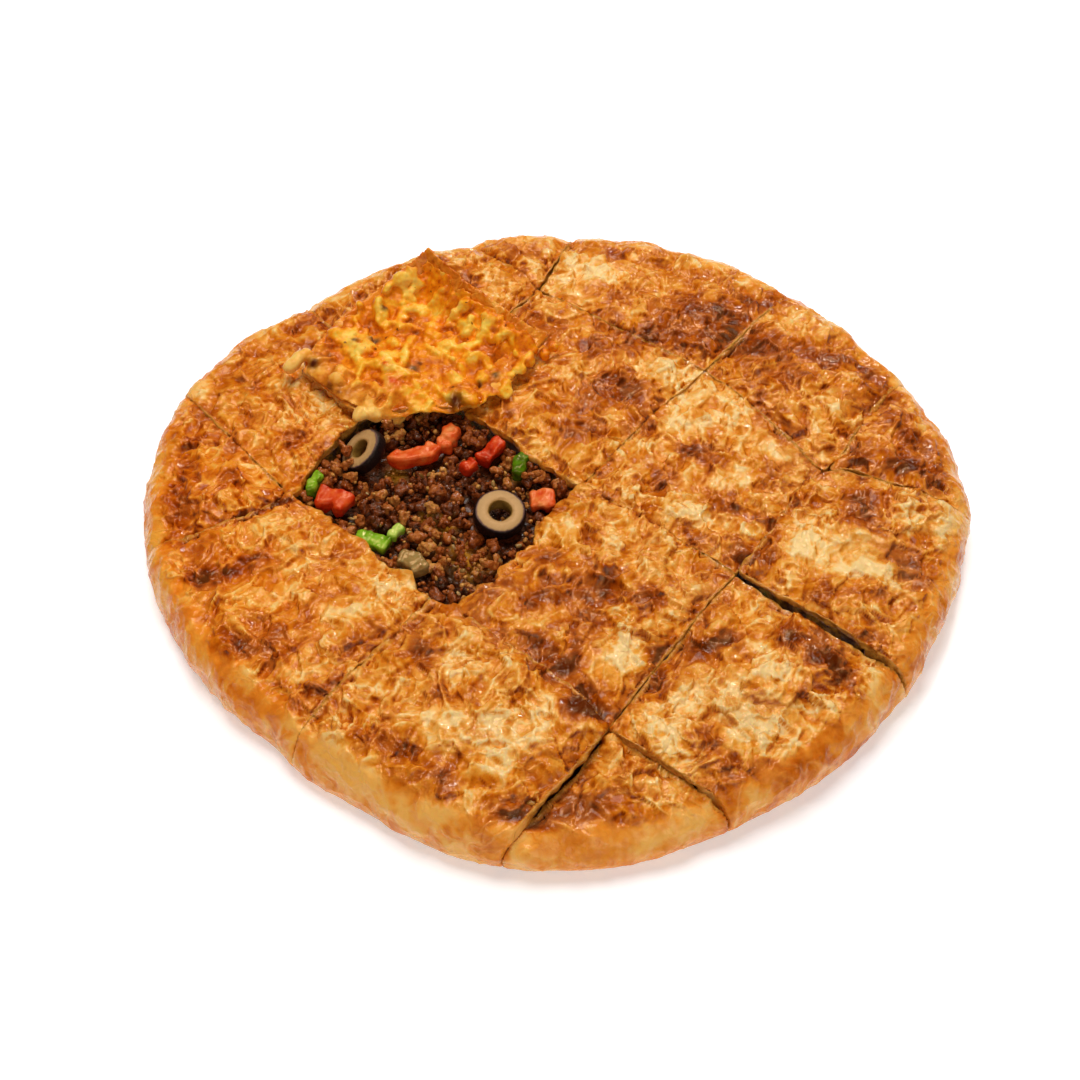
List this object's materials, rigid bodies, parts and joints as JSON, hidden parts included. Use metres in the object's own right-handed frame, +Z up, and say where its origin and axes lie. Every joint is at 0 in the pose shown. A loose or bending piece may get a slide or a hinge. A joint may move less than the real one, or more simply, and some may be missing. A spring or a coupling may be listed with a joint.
{
  "type": "meat feteer",
  "caption": "Round baked filled flatbread cut in a crossed grid, with one middle top crust lifted and turned over to show the minced meat filling",
  "frame": {"origin": "the middle of the bounding box in plan, on the flat underside that rests on the table", "axes": "+Z is up through the thickness, -Y is the side that faces the camera in the picture, +X is to its right"},
  "size_m": [0.2852, 0.2772, 0.0415],
  "materials": {
    "baked_crust": "flaky baked dough, golden with brown blisters, lightly oiled",
    "base_crust": "flat baked dough, soft and pale brown",
    "lifted_crust": "thin baked dough, tan at its cut edge",
    "filling": "cooked minced meat with cheese and vegetables, moist",
    "minced_meat": "cooked minced meat in glossy brown crumbs",
    "melted_cheese": "melted cheese, orange-yellow, lumpy and shiny",
    "olive": "black olive slice with a beige-grey face and dark skin",
    "tomato": "cooked tomato pieces, wet",
    "green_pepper": "cooked green pepper pieces, waxy",
    "onion": "cooked onion, grey-beige and translucent"
  },
  "bodies": {
    "root": {"rim_slice_01_crust": "baked_crust", "rim_slice_01_filling": "filling", "rim_slice_02_crust": "baked_crust", "rim_slice_02_filling": "filling", "rim_slice_03_crust": "baked_crust", "rim_slice_03_filling": "filling", "rim_slice_04_crust": "baked_crust", "rim_slice_04_filling": "filling", "rim_slice_05_crust": "baked_crust", "rim_slice_05_filling": "filling", "rim_slice_06_crust": "baked_crust", "rim_slice_06_filling": "filling", "rim_slice_07_crust": "baked_crust", "rim_slice_07_filling": "filling", "rim_slice_08_crust": "baked_crust", "rim_slice_08_filling": "filling", "rim_slice_09_crust": "baked_crust", "rim_slice_09_filling": "filling", "rim_slice_10_crust": "baked_crust", "rim_slice_10_filling": "filling", "rim_slice_11_crust": "baked_crust", "rim_slice_11_filling": "filling", "rim_slice_12_crust": "baked_crust", "rim_slice_12_filling": "filling", "centre_slice_near_base": "base_crust", "centre_slice_near_filling": "filling", "centre_slice_near_crust": "baked_crust", "centre_slice_right_base": "base_crust", "centre_slice_right_filling": "filling", "centre_slice_right_crust": "baked_crust", "centre_slice_far_base": "base_crust", "centre_slice_far_filling": "filling", "centre_slice_far_crust": "baked_crust", "open_slice_base": "base_crust", "open_slice_meat": "minced_meat", "lifted_crust": "lifted_crust", "lifted_cheese": "melted_cheese", "olive_ring_front": "olive", "olive_ring_back": "olive", "tomato_bent_strip": "tomato", "tomato_orange_piece": "tomato", "tomato_red_piece": "tomato", "tomato_red_chip": "tomato", "tomato_left_chunk": "tomato", "tomato_right_strip": "tomato", "pepper_left_piece": "green_pepper", "pepper_right_piece": "green_pepper", "pepper_front_piece": "green_pepper", "pepper_chip": "green_pepper", "onion_piece": "onion"}
  },
  "joints": []
}
